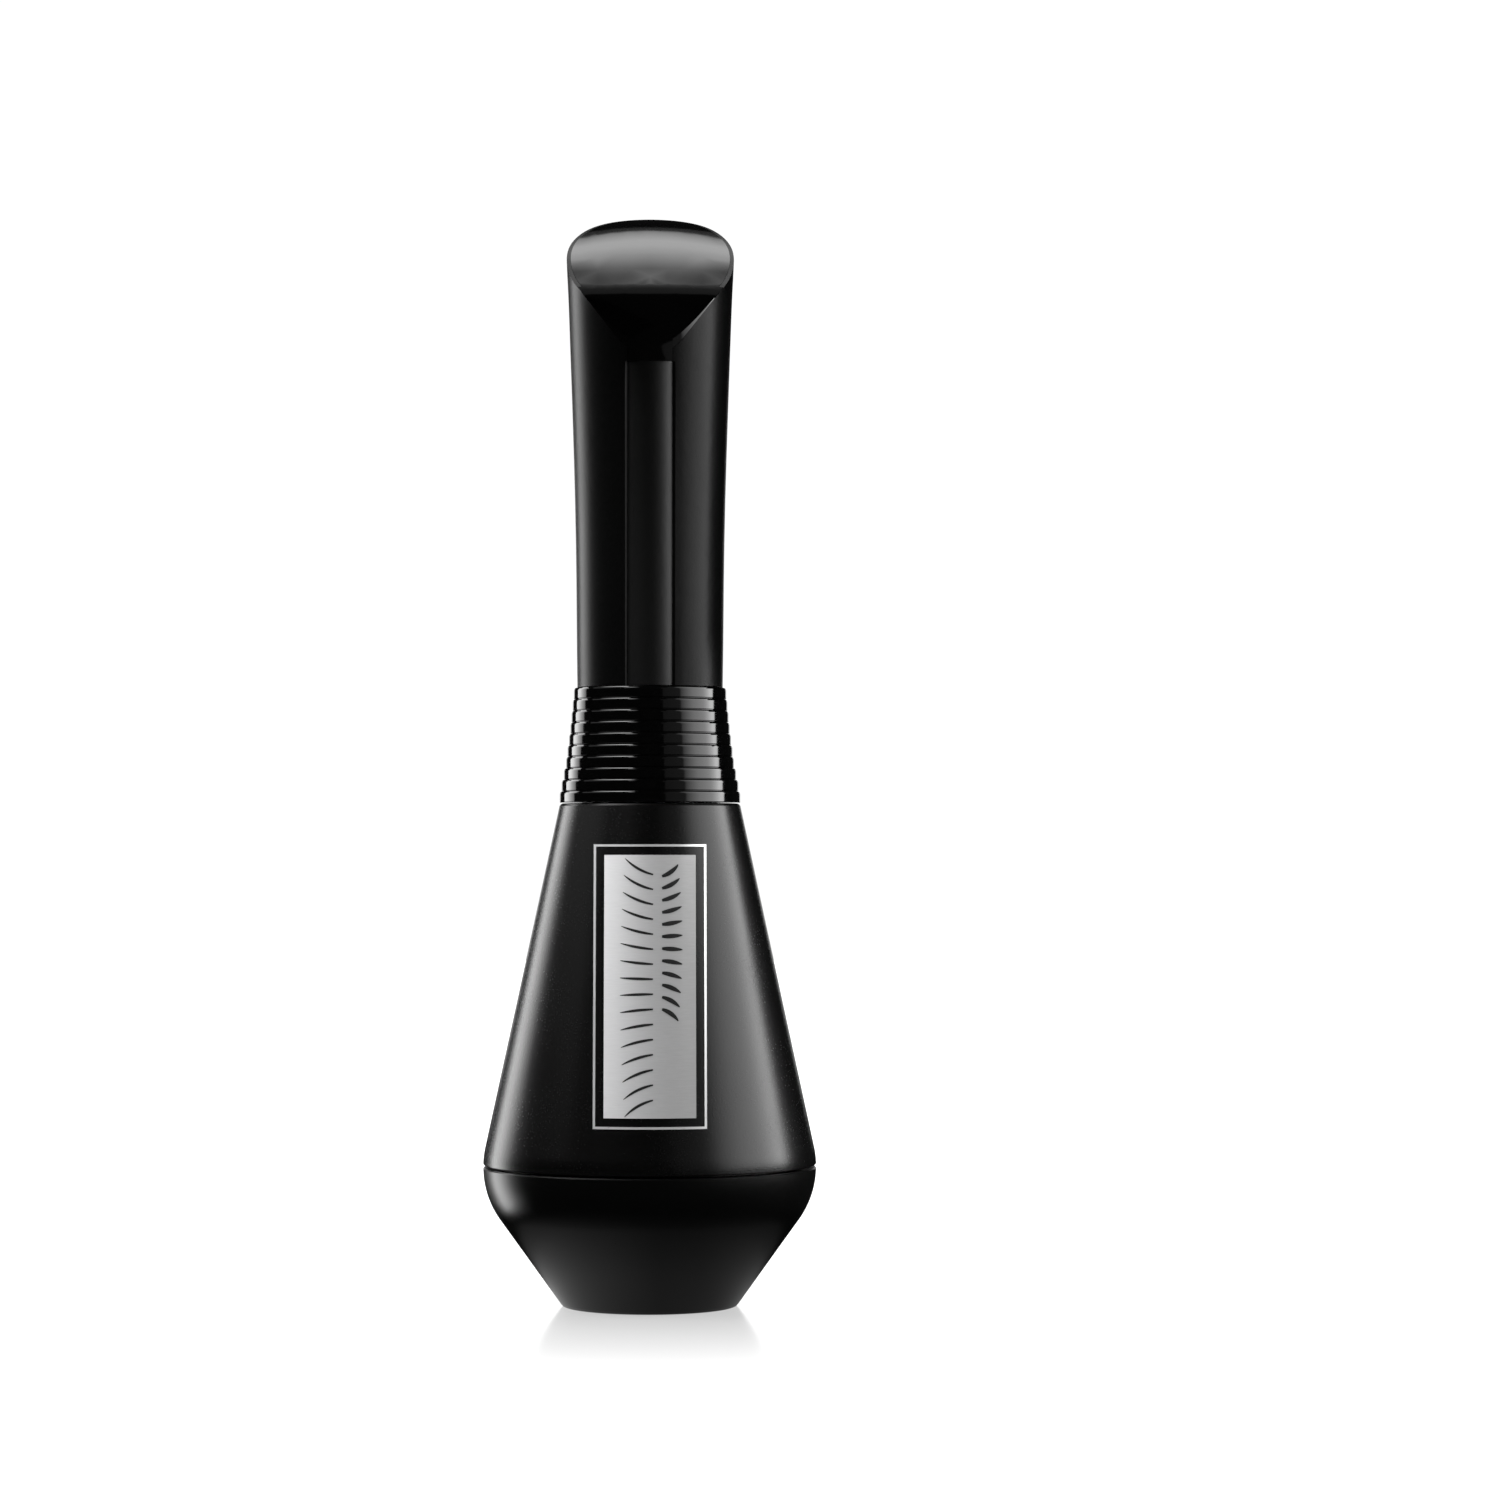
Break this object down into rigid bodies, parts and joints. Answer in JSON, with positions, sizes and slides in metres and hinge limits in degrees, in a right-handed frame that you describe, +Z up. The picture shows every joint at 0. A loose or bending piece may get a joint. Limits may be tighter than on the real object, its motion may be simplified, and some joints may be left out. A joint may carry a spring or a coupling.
{
  "type": "mascara tube",
  "caption": "Mascara tube: flared bottle on a cup base, stepped collar, slotted round handle with a slanting top that tilts on a ball knuckle, and a rod with a moulded brush inside.",
  "frame": {"origin": "middle of the flat underside, on the floor", "axes": "+Z up along the tube's axis, the front with the label and the slot faces -Y"},
  "size_m": [0.0382, 0.0382, 0.1267],
  "materials": {
    "satin_black": "smooth satin",
    "soft_black": "soft-touch lacquer with a fine speckle",
    "clear_grey": "milky moulded plastic",
    "wiper_white": "soft moulded elastomer",
    "silver_foil": "hot-stamped brushed silver foil",
    "seal_white": "foamed liner",
    "gloss_black": "polished",
    "inner_black": "as moulded",
    "brush_black": "moulded elastomer",
    "steel_pin": "drawn",
    "washer_rubber": "moulded"
  },
  "bodies": {
    "bottle": {"base_cup": "satin_black", "casing": "soft_black", "vial": "clear_grey", "wiper": "wiper_white", "label_panel": "silver_foil", "label_line": "silver_foil"},
    "seal": {"gasket": "seal_white"},
    "applicator": {"collar": "gloss_black", "thread_insert": "inner_black", "rod": "gloss_black", "brush_core": "brush_black", "bristles": "brush_black", "knuckle": "gloss_black"},
    "handle": {"handle_shell": "soft_black", "handle_core": "gloss_black", "yoke": "inner_black", "hinge_pin": "steel_pin", "washer_left": "washer_rubber", "washer_right": "washer_rubber"}
  },
  "joints": [
    {"name": "applicator_lift", "type": "slide", "parent": "bottle", "child": "seal", "axis": [0, 0, 1], "range_m": [0, 0.065], "deforming": ["bristles"]},
    {"name": "cap_turn", "type": "hinge", "parent": "seal", "child": "applicator", "pos_m": [0, 0, 0.068], "axis": [0, 0, 1], "range_deg": [0, 540]},
    {"name": "wand_bend", "type": "hinge", "parent": "applicator", "child": "handle", "pos_m": [0, 0.00159, 0.0728], "axis": [-1, 0, 0], "range_deg": [0, 45]}
  ]
}
